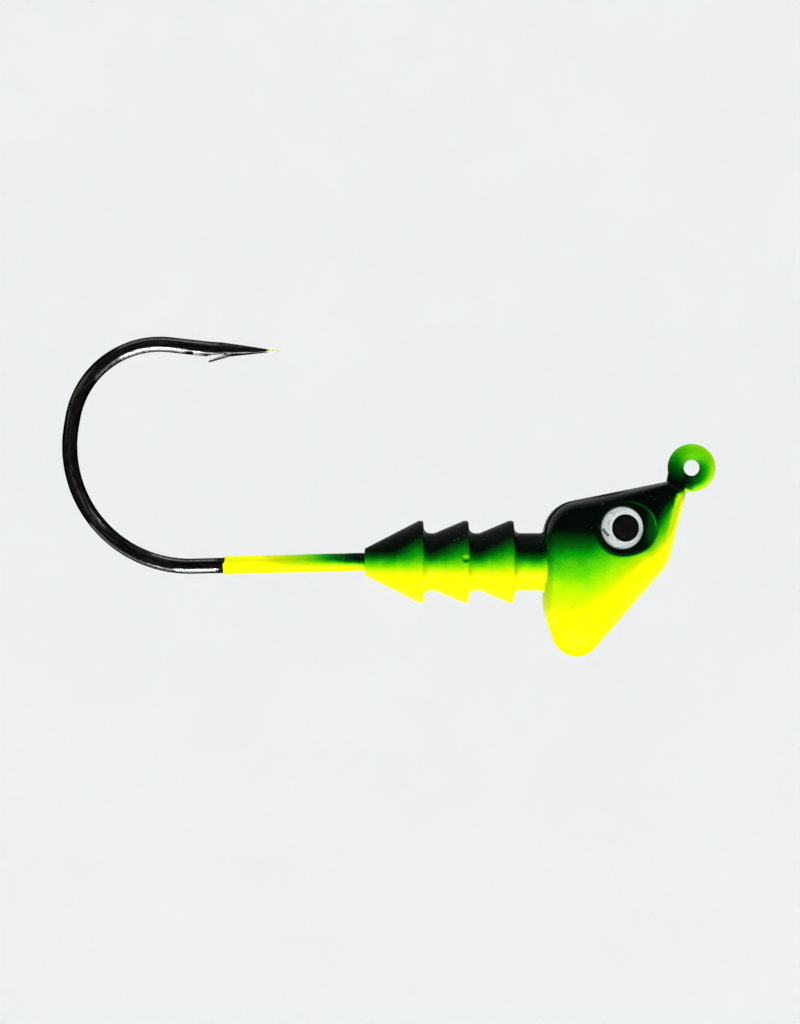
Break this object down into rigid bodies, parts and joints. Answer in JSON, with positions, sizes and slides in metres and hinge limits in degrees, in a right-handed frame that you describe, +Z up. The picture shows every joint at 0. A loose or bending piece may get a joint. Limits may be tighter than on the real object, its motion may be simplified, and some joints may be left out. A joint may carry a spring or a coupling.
{
  "type": "jig head",
  "caption": "Triangular fish-head lead jig with stick-on eyes, ring line tie, barbed bait keeper and a large round-bend hook.",
  "frame": {"origin": "centre of the line tie's hole", "axes": "+X forward, from the hook towards the nose; +Z up, from the chin towards the hook's point; Y across the head, with the hook's wire in the plane y = 0"},
  "size_m": [0.0621, 0.01, 0.0303],
  "materials": {
    "black_nickel_wire": "glossy black nickel plate",
    "cast_lead": "dull cast lead",
    "powder_paint": "glossy baked powder paint, black over green over fluorescent yellow",
    "adhesive": "acrylic adhesive pad",
    "silver_foil": "metallised film",
    "pupil_ink": "printed black ink",
    "clear_epoxy": "clear cured epoxy dome"
  },
  "bodies": {
    "root": {"hook": "black_nickel_wire", "lead_head": "cast_lead", "paint_coat": "powder_paint", "left_eye_pad": "adhesive", "left_eye_foil": "silver_foil", "left_eye_pupil": "pupil_ink", "left_eye_dome": "clear_epoxy", "right_eye_pad": "adhesive", "right_eye_foil": "silver_foil", "right_eye_pupil": "pupil_ink", "right_eye_dome": "clear_epoxy"}
  },
  "joints": []
}
